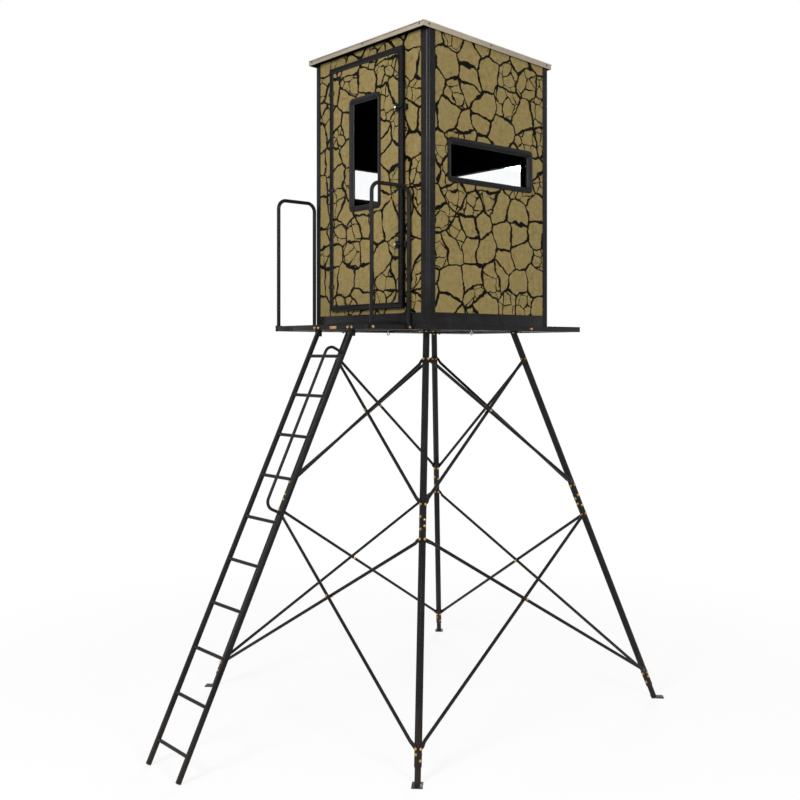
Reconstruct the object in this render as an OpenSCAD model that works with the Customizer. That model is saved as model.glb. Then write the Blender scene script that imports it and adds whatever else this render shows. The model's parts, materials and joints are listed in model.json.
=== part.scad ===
// Elevated hunting blind: a one-room cabin on a four-legged lattice tower, with a
// ladder up to a small landing in front of the door. Millimetres, +Z up.
// The origin is on the ground, at the middle of the four ground anchors.
// The door wall faces -Y and the ladder comes up on that side.

/* [Tower] */
// Height of the platform's top above the ground
platform_height = 3048; // [2000:1:4500]
// Distance between leg axes at the ground
base_span = 2600; // [2200:1:3400]
// Distance between leg axes under the platform
head_span = 970; // [900:1:1200]
// Outside width of the square leg tube
leg_size = 38; // [30:1:60]
// Height above the ground where upper and lower leg halves meet
splice_height = 1610; // [1590:1:1660]
// Side of the square adjusting tube that leaves the foot of each leg
adjuster_size = 30; // [20:1:30]
// Height at which the leg ends and the adjusting tube shows
adjuster_height = 95; // [60:1:120]
// Thickness of the plates at the head and foot of a leg
plate_thickness = 6; // [4:1:12]
// Length of a foot plate, outward from the tower
foot_length = 100; // [90:1:160]
// Width of a foot plate
foot_width = 75; // [50:1:120]
// Bore for the ground anchor in each foot plate
anchor_bore = 14; // [8:1:20]

/* [Braces] */
// Diameter of the brace tubes
brace_tube = 25; // [16:1:32]
// Thickness of their flattened ends
brace_tab = 5; // [3:1:6]
// Heights at which the upper pair of braces is bolted on
upper_brace_heights = [1735, 2780];
// Heights at which the lower pair of braces is bolted on
lower_brace_heights = [200, 1500];

/* [Platform] */
// Size of the square platform tubes
beam_size = 38; // [30:1:60]
// Thickness of the deck plates and of the cabin's seat on the beams
deck_thickness = 5; // [3:1:8]
// How far the platform runs out in front of and behind the cabin
landing_depth = 400; // [350:1:800]
// Height of the hand rails above the deck
rail_height = 1035; // [800:1:1150]
// Diameter of the hand rail tube
rail_tube = 30; // [20:1:45]
// Bend radius of the hand rails, at the tube's middle
rail_bend = 70; // [50:1:120]
// Space between a hand rail post and the cabin or the landing's edge
rail_setback = 5; // [5:1:40]
// Distances of the eye bolts from the middle of the side beams and of the wall beams
eye_bolt_places = [204, 233];

/* [Ladder] */
// Distance from the tower's middle to the foot of the ladder
ladder_reach = 2505; // [1900:1:3400]
// Sideways place of the ladder's middle
ladder_offset = 80; // [-100:1:220]
// Outside width of the ladder
ladder_width = 450; // [340:1:540]
// Size of the square stile tubes
stile_size = 30; // [22:1:40]
// Diameter of the rungs
rung_tube = 25; // [18:1:30]
// Number of rungs
rung_count = 10; // [4:1:10]
// Distance along the stile from the ground to the first rung
rung_first = 180; // [120:1:300]
// Distance between rungs along the stile
rung_pitch = 326; // [280:1:330]
// Places along the stile of the two ends of the ladder's hand rail
grip_span = [1880, 3140];
// Thickness of the brackets that hang the ladder on the platform's front beam
bracket_thickness = 4; // [3:1:8]
// How far the brackets reach below the beam
bracket_drop = 48; // [30:1:70]
// How far the brackets run past the stiles' sides
bracket_wing = 10; // [5:1:20]
// Distance from the stile's face to the middle of the ladder's hand rail
grip_standoff = 136; // [100:1:200]
// Bend radius of the ladder's hand rail
grip_bend = 60; // [45:1:80]
// Diameter of the ladder's hand rail
grip_tube = 22; // [18:1:26]

/* [Cabin] */
// Outside width of the door wall
cabin_width = 1420; // [1300:1:1800]
// Outside depth of the cabin
cabin_depth = 1350; // [1200:1:1750]
// Height of the front wall above the deck
wall_height = 2200; // [2120:1:2700]
// Drop of the roof from front to rear
roof_fall = 75; // [0:1:90]
// Thickness of the walls
wall_thickness = 38; // [25:1:60]
// Thickness of the cabin floor
floor_thickness = 24; // [15:1:40]
// Side of the square corner posts
post_size = 76; // [60:1:100]
// Radius of their edges
post_radius = 5; // [1:1:12]
// Thickness of the base trim, which is also how far posts stand proud of the walls
trim_thickness = 3; // [2:1:6]
// Height of the base trim
trim_height = 91; // [60:1:110]

/* [Roof] */
// Thickness of the roof panel
roof_thickness = 38; // [25:1:60]
// Roof overhang in front of the door wall
roof_front = 55; // [20:1:120]
// Roof overhang at the sides and the rear
roof_side = 13; // [8:1:60]
// Height of the fascia strips
fascia_height = 45; // [40:1:80]
// Thickness of the fascia strips
fascia_thickness = 4; // [2:1:6]

/* [Door] */
// Width of the door leaf
door_width = 916; // [800:1:1000]
// Height of the door leaf
door_height = 1995; // [1850:1:2010]
// Height of the leaf's lower edge above the deck
door_sill = 122; // [110:1:140]
// Thickness of the door leaf
door_thickness = 28; // [22:1:34]
// Gap between the shut leaf and the wall that it laps over
door_gap = 7; // [7:1:12]
// Width of the dark frame around the leaf
door_border = 46; // [35:1:60]
// How far the panel lies behind that frame's face
panel_recess = 4; // [2:1:8]
// How far the leaf laps over the wall around the doorway
door_lap = 38; // [30:1:60]
// Thickness of the doorway lining
jamb_thickness = 22; // [15:1:30]
// Outside radius of the hinge knuckles
knuckle_radius = 7; // [6:1:9]
// Radius of the hinge pins
pin_radius = 4; // [3:0.5:5]
// Heights of the hinges above the leaf's lower edge
hinge_heights = [200, 1000, 1790];
// Length of the hinge leaf on the wall and of the strap over the door, from the pin
hinge_reach = [38, 67];
// Heights of the latches above the leaf's lower edge
latch_heights = [485, 1526];
// Width and height of a latch's body
latch_body = [34, 58];
// Length, width and thickness of a latch's arm
latch_arm = [70, 12, 5];
// Width and height of the keepers beside the door
keeper_size = [24, 44];

/* [Windows] */
// Outside width and height of the frames in the side and rear walls
wall_window = [945, 342];
// Height of the middle of those windows above the deck
wall_window_height = 1246; // [1100:1:1400]
// Outside width and height of the frame in the door
door_window = [396, 909];
// Height of the middle of the door's window above the deck
door_window_height = 1365; // [1300:1:1450]
// Width of the frames around the glass
window_flange = 42; // [30:1:60]
// How far the frames stand out of the wall
window_proud = 10; // [6:1:16]
// Width of the part of the frame that lies on the wall
window_lap = 24; // [16:1:28]
// Corner radii of the frames, of the holes in the wall and of the glass
window_radii = [40, 16, 12];
// Thickness of the glass
glass_thickness = 4; // [3:1:6]

/* [Hidden] */
$fn = 48;
// clearance of a part that is let into another
fit = 0.3;
// clearance between the hinge pins and the knuckles on the door
pin_fit = 0.3;
// clearance where parts meet on a sloping face
seat = 0.05;
// larger than the whole object, for the cutting blocks
huge = 20000;

steel = [0.16, 0.15, 0.16];
camouflage = [0.61, 0.54, 0.35];
fascia_tan = [0.59, 0.54, 0.47];
zinc = [0.74, 0.60, 0.36];
black = [0.07, 0.07, 0.07];
clear = [0.55, 0.62, 0.64];

// tower
beam_top = platform_height - deck_thickness;
beam_under = beam_top - beam_size;
head = head_span / 2;
spread = (base_span - head_span) / 2;
side_lean = atan(spread / beam_under);          // lean of a side of the tower
leg_lean = atan(sin(side_lean));                // lean of a leg, seen square to that side
leg_twist = (90 - acos(pow(sin(side_lean), 2))) / 2; // turns a leg square between two sides
leg_length = beam_under / (cos(side_lean) * cos(leg_lean));
face = leg_size / 2 * (cos(leg_twist) + sin(leg_twist)) + seat;

// how far down a leg's axis a height is, and down the sloping side
function along_leg(z) = leg_length * (beam_under - z) / beam_under;
function down_side(z) = (beam_under - z) / cos(side_lean);
// half the width of the tower at a distance down the side
function half_width(s) = head + s * sin(side_lean);

// platform
half_w = cabin_width / 2;
half_d = cabin_depth / 2;
platform_half = half_d + landing_depth;
side_beam_x = half_w - beam_size / 2;
landing_edge = head + beam_size / 2;
wall_beam_y = half_d - beam_size / 2;
end_beam_y = platform_half - beam_size / 2;

// ladder
ladder_run = ladder_reach - end_beam_y;
ladder_lean = atan(ladder_run / beam_under);
ladder_length = beam_under / cos(ladder_lean);

// cabin
wall_top = platform_height + wall_height;
roof_slope = atan(roof_fall / cabin_depth);
wall_x = half_w - trim_thickness;               // outer face of the side walls
wall_y = half_d - trim_thickness;               // outer face of the front and rear walls
floor_top = beam_top + floor_thickness;
span_x = cabin_width - 2 * post_size;           // between corner posts
span_y = cabin_depth - 2 * post_size;

// doorway
leaf_bottom = platform_height + door_sill;
leaf_top = leaf_bottom + door_height;
opening_half = door_width / 2 - door_lap;
opening_bottom = leaf_bottom + door_lap;
opening_top = leaf_top - door_lap;
leaf_back = -wall_y - door_gap;
leaf_front = leaf_back - door_thickness;
hinge_x = -door_width / 2 - knuckle_radius;
hinge_y = leaf_back - door_thickness * 0.65;
hinge_height = 90;
hinge_leaf = 2.5;

// ---------------------------------------------------------------- helpers

module rounded_rect(size, r) {
    square([size[0] - 2 * r, size[1]], center = true);
    square([size[0], size[1] - 2 * r], center = true);
    for (x = [-1, 1], y = [-1, 1])
        translate([x * (size[0] / 2 - r), y * (size[1] / 2 - r)]) circle(r);
}

// a side of the tower: local X points out of it, Y along it and -Z down the slope
module on_side(k) {
    rotate([0, 0, 90 * k]) translate([head, 0, beam_under]) rotate([0, -side_lean, 0]) children();
}

// the frame of the leg at the far end of side k, with -Z down the leg's axis
module on_leg(k) {
    on_side(k) translate([0, head, 0]) rotate([leg_lean, 0, 0]) rotate([0, 0, -leg_twist]) children();
}

module square_bar(size, from, to) {
    translate([-size / 2, -size / 2, -to]) cube([size, size, to - from]);
}

module below(z) {
    difference() {
        children();
        translate([-huge / 2, -huge / 2, z]) cube([huge, huge, huge]);
    }
}

module above(z) {
    difference() {
        children();
        translate([-huge / 2, -huge / 2, z - huge]) cube([huge, huge, huge]);
    }
}

// the roof's own frame, with its origin at the foot of the roof over the front wall
module on_roof() {
    translate([0, -half_d, wall_top]) rotate([-roof_slope, 0, 0]) children();
}

module under_roof() {
    difference() {
        children();
        on_roof() translate([-huge / 2, -huge / 2, -seat]) cube([huge, huge, huge]);
    }
}

// a quarter bend of tube, from the +X side round to the +Y side of its centre
module bend(radius, tube) {
    rotate_extrude(angle = 90) translate([radius, 0]) circle(d = tube);
}

// an upright U of tube in the YZ plane, open below, with its feet at z = 0
module hoop(width, height, radius, tube) {
    for (side = [0, 1]) mirror([0, side, 0]) {
        translate([0, width / 2, 0]) cylinder(d = tube, h = height - radius);
        translate([0, width / 2 - radius, height - radius]) rotate([90, 0, 90]) bend(radius, tube);
    }
    translate([0, width / 2 - radius, height]) rotate([90, 0, 0])
        cylinder(d = tube, h = width - 2 * radius);
}

// ---------------------------------------------------------------- tower

module upper_leg(k) {
    color(steel) {
        below(beam_under - plate_thickness) on_leg(k)
            square_bar(leg_size, -leg_size, along_leg(splice_height));
        rotate([0, 0, 90 * k]) translate([head, head, beam_under - plate_thickness / 2])
            cube([leg_size * 2.6, leg_size * 2.6, plate_thickness], center = true);
    }
}

module lower_leg(k) {
    color(steel) on_leg(k)
        square_bar(leg_size, along_leg(splice_height), along_leg(adjuster_height));
}

module foot(k) {
    above(0) on_leg(k)
        square_bar(adjuster_size, along_leg(adjuster_height), leg_length + adjuster_size);
    rotate([0, 0, 90 * k]) translate([base_span / 2, base_span / 2, 0]) rotate([0, 0, 45])
        translate([-foot_length / 4, -foot_width / 2, 0])
            difference() {
                cube([foot_length, foot_width, plate_thickness]);
                translate([foot_length * 3 / 4, foot_width / 2, -1])
                    cylinder(d = anchor_bore, h = plate_thickness + 2);
            }
}

module feet() {
    color(steel) for (k = [0:3]) foot(k);
}

// one brace tube with flattened ends, between two points of a side; an inner tube
// runs behind the outer one that it crosses, and its ends step out over the legs
module brace(u0, s0, u1, s1, inner) {
    run = norm([u1 - u0, s1 - s0]);
    neck = leg_size + brace_tube * 1.2;
    axis = inner ? face - fit - brace_tube / 2 : face + brace_tube / 2;
    translate([0, u0, -s0]) rotate([atan2(s0 - s1, u1 - u0), 0, 0]) {
        translate([axis, neck, 0]) rotate([-90, 0, 0]) cylinder(d = brace_tube, h = run - 2 * neck);
        for (end = [0, 1]) translate([0, end * run, 0]) mirror([0, end, 0]) {
            translate([face, 0, 0]) rotate([0, 90, 0]) cylinder(d = brace_tube, h = brace_tab);
            translate([face, 0, -brace_tube / 2]) cube([brace_tab, neck + brace_tube, brace_tube]);
            if (inner) translate([axis, neck - brace_tab, -brace_tube / 3])
                cube([face - axis + brace_tab, brace_tube + brace_tab, brace_tube * 2 / 3]);
        }
    }
}

module crossed_pair(heights) {
    s_low = down_side(heights[0]);
    s_high = down_side(heights[1]);
    for (inner = [false, true]) mirror([0, inner ? 1 : 0, 0])
        brace(-half_width(s_high), s_high, half_width(s_low), s_low, inner);
}

module braces(k) {
    color(steel) on_side(k) {
        crossed_pair(upper_brace_heights);
        crossed_pair(lower_brace_heights);
    }
}

// ---------------------------------------------------------------- platform

module beam_along_y(x, y0, y1) {
    translate([x - beam_size / 2, y0, beam_under]) cube([beam_size, y1 - y0, beam_size]);
}

module beam_along_x(y, x0, x1) {
    translate([x0, y - beam_size / 2, beam_under]) cube([x1 - x0, beam_size, beam_size]);
}

module long_beams() {
    color(steel) {
        beam_along_y(-side_beam_x, -platform_half, platform_half);
        beam_along_y(-head, -platform_half, platform_half);
        beam_along_y(head, -platform_half, platform_half);
        beam_along_y(side_beam_x, -half_d, platform_half);
    }
}

module cross_beams() {
    gap = beam_size / 2;
    color(steel) {
        for (y = [-end_beam_y, -wall_beam_y, 0, wall_beam_y, end_beam_y]) {
            beam_along_x(y, -side_beam_x + gap, -head - gap);
            beam_along_x(y, -head + gap, head - gap);
            if (y > -end_beam_y) beam_along_x(y, head + gap, side_beam_x - gap);
        }
    }
}

module deck_plates() {
    color(steel) {
        translate([-half_w, -platform_half, beam_top])
            cube([half_w + landing_edge, landing_depth, deck_thickness]);
        translate([-half_w, half_d, beam_top]) cube([cabin_width, landing_depth, deck_thickness]);
    }
}

module eye_bolts() {
    ring = 13;
    wire = 7;
    drop = 12;
    along = eye_bolt_places[0];
    across = eye_bolt_places[1];
    color(zinc) for (place = [[side_beam_x, -along, 90], [across, -wall_beam_y, 0]])
        translate([place[0], place[1], beam_under]) {
            translate([0, 0, -drop]) cylinder(d = wire, h = drop);
            translate([0, 0, -drop - ring]) rotate([90, 0, place[2]])
                rotate_extrude() translate([ring, 0]) circle(d = wire);
        }
}

// ---------------------------------------------------------------- ladder

// the ladder's frame: origin at its foot, +Z up the stiles, -Y to the climber
module on_ladder() {
    translate([ladder_offset, -ladder_reach, 0]) rotate([-ladder_lean, 0, 0]) children();
}

stile_x = (ladder_width - stile_size) / 2;
// the stiles are cut square, so their front edge is what touches the ground
stile_foot = stile_size / 2 * tan(ladder_lean);

module ladder_stiles() {
    color(steel) below(beam_under) on_ladder() for (side = [-1, 1])
        translate([side * stile_x - stile_size / 2, -stile_size / 2, stile_foot])
            cube([stile_size, stile_size, ladder_length + stile_size]);
}

module ladder_rungs() {
    inside = ladder_width - 2 * stile_size;
    color(steel) on_ladder() for (i = [0:rung_count - 1])
        translate([-inside / 2, (rung_tube - stile_size) / 2, rung_first + i * rung_pitch])
            rotate([0, 90, 0]) cylinder(d = rung_tube, h = inside);
}

module ladder_brackets() {
    thick = bracket_thickness;
    ear = bracket_drop;
    reach = stile_size / 2 + thick + bracket_wing;
    color(steel) for (side = [-1, 1])
        translate([ladder_offset + side * stile_x, -platform_half, beam_under]) {
            translate([-reach, -thick, 0]) cube([2 * reach, thick, beam_size]);
            for (x = [-stile_size / 2 - thick, stile_size / 2])
                translate([x, -thick, -ear]) cube([thick, beam_size, ear]);
            for (x = [-stile_size / 2 - thick, stile_size / 2])
                translate([x, -thick, -ear]) cube([thick, thick, ear + beam_size]);
        }
}

module ladder_handrail() {
    color(steel) on_ladder() translate([stile_x, -stile_size / 2 - seat, (grip_span[0] + grip_span[1]) / 2])
        rotate([90, 0, 0]) hoop(grip_span[1] - grip_span[0], grip_standoff, grip_bend, grip_tube);
}

// ---------------------------------------------------------------- landing rails

rail_width = landing_depth - rail_tube - 2 * rail_setback;
rail_y = -half_d - landing_depth / 2;

module landing_rail_left() {
    flange = 4;
    color(steel) translate([-side_beam_x, rail_y, platform_height]) {
        hoop(rail_width, rail_height, rail_bend, rail_tube);
        for (y = [-1, 1]) translate([0, y * rail_width / 2, flange / 2])
            cube([beam_size, rail_tube + 2 * (rail_setback - fit), flange], center = true);
    }
}

module landing_rail_right() {
    color(steel) translate([landing_edge + rail_tube / 2, rail_y, beam_under])
        hoop(rail_width, rail_height + beam_size + deck_thickness, rail_bend, rail_tube);
}

// ---------------------------------------------------------------- cabin

module corner_post_places() {
    for (x = [-1, 1], y = [-1, 1])
        translate([x * (half_w - post_size / 2), y * (half_d - post_size / 2), 0]) children();
}

module corner_posts() {
    color(steel) under_roof() corner_post_places() translate([0, 0, beam_top])
        linear_extrude(wall_height + deck_thickness + roof_fall)
            rounded_rect([post_size, post_size], post_radius);
}

module cabin_floor() {
    color([0.30, 0.27, 0.23]) difference() {
        translate([-wall_x, -wall_y, beam_top]) cube([2 * wall_x, 2 * wall_y, floor_thickness]);
        corner_post_places() translate([-post_size / 2, -post_size / 2, beam_top - 1])
            cube([post_size, post_size, floor_thickness + 2]);
    }
}

module base_trim() {
    color(steel) {
        for (side = [0, 1]) mirror([side, 0, 0])
            translate([wall_x, -span_y / 2, beam_top]) cube([trim_thickness, span_y, trim_height]);
        for (side = [0, 1]) mirror([0, side, 0])
            translate([-span_x / 2, -half_d, beam_top]) cube([span_x, trim_thickness, trim_height]);
    }
}

module front_slab(x0, x1, z0, z1) {
    translate([x0, -wall_y, z0]) cube([x1 - x0, wall_thickness, z1 - z0]);
}

module front_wall_sides() {
    color(camouflage) under_roof() for (side = [0, 1]) mirror([side, 0, 0])
        front_slab(opening_half, span_x / 2, floor_top, wall_top);
}

module front_wall_header() {
    color(camouflage) under_roof() front_slab(-opening_half, opening_half, opening_top, wall_top);
}

module front_wall_sill() {
    color(camouflage) front_slab(-opening_half, opening_half, floor_top, opening_bottom);
}

// the window that fills a hole in a wall lies in the XY plane, with +Z out of the wall
module window_hole(size, depth) {
    lap = 2 * window_lap;
    translate([0, 0, -depth - 1]) linear_extrude(depth + 2)
        rounded_rect([size[0] - lap, size[1] - lap], window_radii[1]);
}

module window_frame(size, depth) {
    lap = 2 * (window_lap + fit);
    flange = 2 * window_flange;
    difference() {
        union() {
            linear_extrude(window_proud) rounded_rect(size, window_radii[0]);
            translate([0, 0, -depth]) linear_extrude(depth + 1)
                rounded_rect([size[0] - lap, size[1] - lap], window_radii[1] - fit);
        }
        translate([0, 0, -depth - 1]) linear_extrude(depth + window_proud + 2)
            rounded_rect([size[0] - flange, size[1] - flange], window_radii[2]);
    }
}

module window_pane(size, depth) {
    flange = 2 * (window_flange + fit);
    translate([0, 0, -depth / 2]) linear_extrude(glass_thickness)
        rounded_rect([size[0] - flange, size[1] - flange], window_radii[2] - fit);
}

// puts a window into side k of the cabin: 0 right, 1 rear, 2 left
module on_wall(k) {
    out = k == 1 ? wall_y : wall_x;
    rotate([0, 0, 90 * k]) translate([out, 0, platform_height + wall_window_height])
        rotate([90, 0, 90]) children();
}

module side_wall(k) {
    color(camouflage) under_roof() difference() {
        rotate([0, 0, 90 * k]) translate([wall_x - wall_thickness, -span_y / 2, floor_top])
            cube([wall_thickness, span_y, wall_top - floor_top]);
        on_wall(k) window_hole(wall_window, wall_thickness);
    }
}

module left_wall() { side_wall(2); }

module right_wall() { side_wall(0); }

module rear_wall() {
    color(camouflage) under_roof() difference() {
        translate([-span_x / 2, wall_y - wall_thickness, floor_top])
            cube([span_x, wall_thickness, wall_top - floor_top]);
        on_wall(1) window_hole(wall_window, wall_thickness);
    }
}

module wall_window_frames() {
    color(black) for (k = [0:2]) on_wall(k) window_frame(wall_window, wall_thickness);
}

module wall_window_glass() {
    color(clear) for (k = [0:2]) on_wall(k) window_pane(wall_window, wall_thickness);
}

module door_jamb() {
    color(steel) difference() {
        front_slab(-opening_half, opening_half, opening_bottom, opening_top);
        translate([0, -1, 0]) front_slab(-opening_half + jamb_thickness, opening_half - jamb_thickness,
            opening_bottom + jamb_thickness, opening_top - jamb_thickness);
        translate([0, 1, 0]) front_slab(-opening_half + jamb_thickness, opening_half - jamb_thickness,
            opening_bottom + jamb_thickness, opening_top - jamb_thickness);
    }
}

// ---------------------------------------------------------------- roof

roof_run = cabin_depth / cos(roof_slope);
roof_half = half_w + roof_side;
fascia_drop = fascia_height - roof_thickness - 2;

module roof_panel() {
    inset = fascia_thickness + seat;
    color(fascia_tan) on_roof() translate([-roof_half + inset, -roof_front + inset, 0])
        cube([2 * (roof_half - inset), roof_run + roof_front + roof_side - 2 * inset, roof_thickness]);
}

module side_fascia() {
    color(fascia_tan) on_roof() for (side = [0, 1]) mirror([side, 0, 0])
        translate([roof_half - fascia_thickness, -roof_front, -fascia_drop])
            cube([fascia_thickness, roof_run + roof_front + roof_side, fascia_height]);
}

module end_fascia() {
    inset = roof_half - fascia_thickness;
    color(fascia_tan) on_roof() for (y = [-roof_front, roof_run + roof_side - fascia_thickness])
        translate([-inset, y, -fascia_drop]) cube([2 * inset, fascia_thickness, fascia_height]);
}

// ---------------------------------------------------------------- door

leaf_middle = (leaf_bottom + leaf_top) / 2;

// the leaf's frame: XY in the leaf's outer face, +Z out of it, origin at its middle
module on_leaf() {
    translate([0, leaf_front, leaf_middle]) rotate([90, 0, 0]) children();
}

module door_window_place() {
    translate([0, platform_height + door_window_height - leaf_middle, 0]) children();
}

module door_panel() {
    border = 2 * door_border;
    color(camouflage) on_leaf() difference() {
        translate([0, 0, -door_thickness]) linear_extrude(door_thickness - panel_recess)
            square([door_width - border, door_height - border], center = true);
        door_window_place() window_hole(door_window, door_thickness);
    }
}

module door_frame() {
    border = 2 * door_border;
    color(steel) on_leaf() translate([0, 0, -door_thickness]) linear_extrude(door_thickness) difference() {
        rounded_rect([door_width, door_height], 8);
        square([door_width - border, door_height - border], center = true);
    }
}

module door_window_frame() {
    color(black) on_leaf() translate([0, 0, -panel_recess]) door_window_place()
        window_frame(door_window, door_thickness - panel_recess);
}

module door_glass() {
    color(clear) on_leaf() translate([0, 0, -panel_recess]) door_window_place()
        window_pane(door_window, door_thickness - panel_recess);
}

module at_hinges() {
    for (z = hinge_heights) translate([hinge_x, hinge_y, leaf_bottom + z]) children();
}

// the wall's part of each hinge: a leaf on the wall, a web out to the pin, the pin
// and the two outer knuckles
module wall_hinges() {
    third = hinge_height / 3;
    wall_gap = -wall_y - hinge_y;
    color(steel) at_hinges() {
        translate([0, 0, -hinge_height / 2 - 4]) cylinder(r = pin_radius, h = hinge_height + 8);
        for (z = [-hinge_height / 2, third / 2]) {
            translate([0, 0, z]) cylinder(r = knuckle_radius, h = third);
            translate([-knuckle_radius, 0, z]) cube([hinge_leaf, wall_gap, third]);
        }
        translate([-hinge_reach[0], wall_gap - hinge_leaf, -hinge_height / 2])
            cube([hinge_reach[0] - knuckle_radius + hinge_leaf, hinge_leaf, hinge_height]);
    }
}

// the door's part of each hinge: the middle knuckle and a strap over the leaf's face
module door_hinges() {
    third = hinge_height / 3 - 2;
    front = hinge_y - leaf_front;
    color(steel) at_hinges() difference() {
        union() {
            translate([0, 0, -third / 2]) cylinder(r = knuckle_radius, h = third);
            translate([-knuckle_radius, -front - hinge_leaf, -third / 2])
                cube([hinge_leaf * 2, front + hinge_leaf, third]);
            translate([-knuckle_radius, -front - hinge_leaf, -third / 2])
                cube([knuckle_radius + hinge_reach[1], hinge_leaf, third]);
            translate([-knuckle_radius, -front, -third / 2])
                cube([2 * knuckle_radius, front, third]);
        }
        translate([0, 0, -third]) cylinder(r = pin_radius + pin_fit, h = 2 * third);
    }
}

// a latch: a body that laps over the leaf's dark frame, a turning knob, and an arm that
// reaches past the leaf's edge
module door_latches() {
    seat_width = 3;
    body_depth = 9;
    knob_size = 17;
    knob_depth = 30;
    latch_x = door_width / 2 - door_border - latch_body[0] / 2 + seat_width;
    color(black) for (z = latch_heights)
        translate([latch_x, leaf_front, leaf_bottom + z]) rotate([90, 0, 0]) {
            linear_extrude(body_depth) rounded_rect(latch_body, 8);
            cylinder(d = knob_size, h = knob_depth);
            translate([0, -latch_arm[1] / 2, 2]) cube(latch_arm);
        }
}

module latch_keepers() {
    gap = 7;
    recess = 8;
    depth = door_gap + door_thickness - recess;
    color(steel) for (z = latch_heights)
        translate([door_width / 2 + gap, -wall_y - depth, leaf_bottom + z - keeper_size[1] / 2])
            cube([keeper_size[0], depth, keeper_size[1]]);
}

// ---------------------------------------------------------------- assembly

upper_leg(3);  // upper_leg_front_right
upper_leg(0);  // upper_leg_rear_right
upper_leg(1);  // upper_leg_rear_left
upper_leg(2);  // upper_leg_front_left
lower_leg(3);  // lower_leg_front_right
lower_leg(0);  // lower_leg_rear_right
lower_leg(1);  // lower_leg_rear_left
lower_leg(2);  // lower_leg_front_left
feet();
braces(0);  // braces_right
braces(1);  // braces_rear
braces(2);  // braces_left
braces(3);  // braces_front
long_beams();
cross_beams();
deck_plates();
eye_bolts();
ladder_stiles();
ladder_rungs();
ladder_brackets();
ladder_handrail();
landing_rail_left();
landing_rail_right();
cabin_floor();
corner_posts();
base_trim();
front_wall_sides();
front_wall_header();
front_wall_sill();
left_wall();
right_wall();
rear_wall();
door_jamb();
wall_window_frames();
wall_window_glass();
roof_panel();
side_fascia();
end_fascia();
wall_hinges();
latch_keepers();
door_panel();
door_frame();
door_window_frame();
door_glass();
door_hinges();
door_latches();
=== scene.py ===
# %% [markdown]
# # An elevated hunting blind, finished in Blender
# The construction comes in as a fixed frame: every tube, panel and hinge is already at its real
# size and in its place. This lesson gives each of them the surface that the real one has, and
# adds what was too small for the frame, such as bolts, screws, welds, seals and the deck's mesh.

# %% Load the frame
import json
import math
import bmesh
import bpy
from mathutils import Matrix, Vector


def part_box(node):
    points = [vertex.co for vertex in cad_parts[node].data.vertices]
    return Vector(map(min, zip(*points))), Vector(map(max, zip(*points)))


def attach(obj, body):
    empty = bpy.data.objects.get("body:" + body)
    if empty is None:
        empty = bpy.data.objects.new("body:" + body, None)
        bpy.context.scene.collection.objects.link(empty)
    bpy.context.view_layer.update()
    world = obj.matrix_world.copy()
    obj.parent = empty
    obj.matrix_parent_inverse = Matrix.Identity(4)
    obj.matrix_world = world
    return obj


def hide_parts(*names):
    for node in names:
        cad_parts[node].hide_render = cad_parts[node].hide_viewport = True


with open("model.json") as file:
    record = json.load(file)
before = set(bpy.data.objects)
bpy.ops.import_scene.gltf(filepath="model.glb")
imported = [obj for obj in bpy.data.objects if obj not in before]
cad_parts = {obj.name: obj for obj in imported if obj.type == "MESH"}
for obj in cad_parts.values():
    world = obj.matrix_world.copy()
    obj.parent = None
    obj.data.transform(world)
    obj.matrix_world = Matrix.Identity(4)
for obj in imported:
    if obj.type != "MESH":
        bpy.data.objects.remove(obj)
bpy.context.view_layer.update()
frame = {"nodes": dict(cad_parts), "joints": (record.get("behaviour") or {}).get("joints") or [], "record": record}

MM = 0.001
nodes = frame["nodes"]

# %% [markdown]
# ## The sizes that the finish needs
# The heights and widths are read back from the frame's own boxes, so that a bolt sits on its
# tube. `head` and `foot` are how far the legs stand from the tower's axis at their two ends.

# %% Read the main sizes back from the frame
low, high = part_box("long_beams")
beam_under = low.z
beam_top = high.z
beam = high.z - low.z
platform_half = high.y
half_w = high.x
half_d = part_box("corner_posts")[1].y
deck_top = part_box("deck_plates")[1].z
head_plate = 2.6 * beam
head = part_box("upper_leg_rear_right")[0].x + head_plate / 2
anchor = frame["record"]["mounts"][0]["dims"]["spacing_x_mm"] * MM / 2
anchor_reach = 0.05
foot = anchor - anchor_reach * math.cos(math.radians(45))
side_lean = math.atan((foot - head) / beam_under)
leg = beam
print("platform", round(deck_top, 3), "head", round(head, 3), "foot", round(foot, 3))

# %% [markdown]
# ## Small tools for shaders
# A material in Blender is a graph of nodes. A few helpers keep the graphs short enough to read.
# `add` makes a node and fills or links its inputs. `noise`, `calc`, `remap` and `blend_colour`
# each wrap one kind of node, and `give_bump` turns a height into small dents.

# %% Shader helpers
def add(tree, kind, inputs=None, **settings):
    made = tree.nodes.new(kind)
    for key, value in settings.items():
        setattr(made, key, value)
    for key, value in (inputs or {}).items():
        if isinstance(value, bpy.types.NodeSocket):
            tree.links.new(value, made.inputs[key])
        else:
            made.inputs[key].default_value = value
    return made


def new_material(name, colour, roughness, metallic=0.0):
    made = bpy.data.materials.new(name)
    made.use_nodes = True
    made.diffuse_color = (*colour, 1)
    shader = made.node_tree.nodes["Principled BSDF"]
    shader.inputs["Base Color"].default_value = (*colour, 1)
    shader.inputs["Roughness"].default_value = roughness
    shader.inputs["Metallic"].default_value = metallic
    return made, made.node_tree, shader


def place_of(tree):
    return add(tree, "ShaderNodeTexCoord").outputs["Object"]


def noise(tree, where, scale, detail=4.0, roughness=0.55):
    inputs = {"Vector": where, "Scale": scale, "Detail": detail, "Roughness": roughness}
    return add(tree, "ShaderNodeTexNoise", inputs).outputs["Fac"]


def calc(tree, operation, a, b=0.0, clamp=False):
    return add(tree, "ShaderNodeMath", {0: a, 1: b}, operation=operation, use_clamp=clamp).outputs[0]


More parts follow.
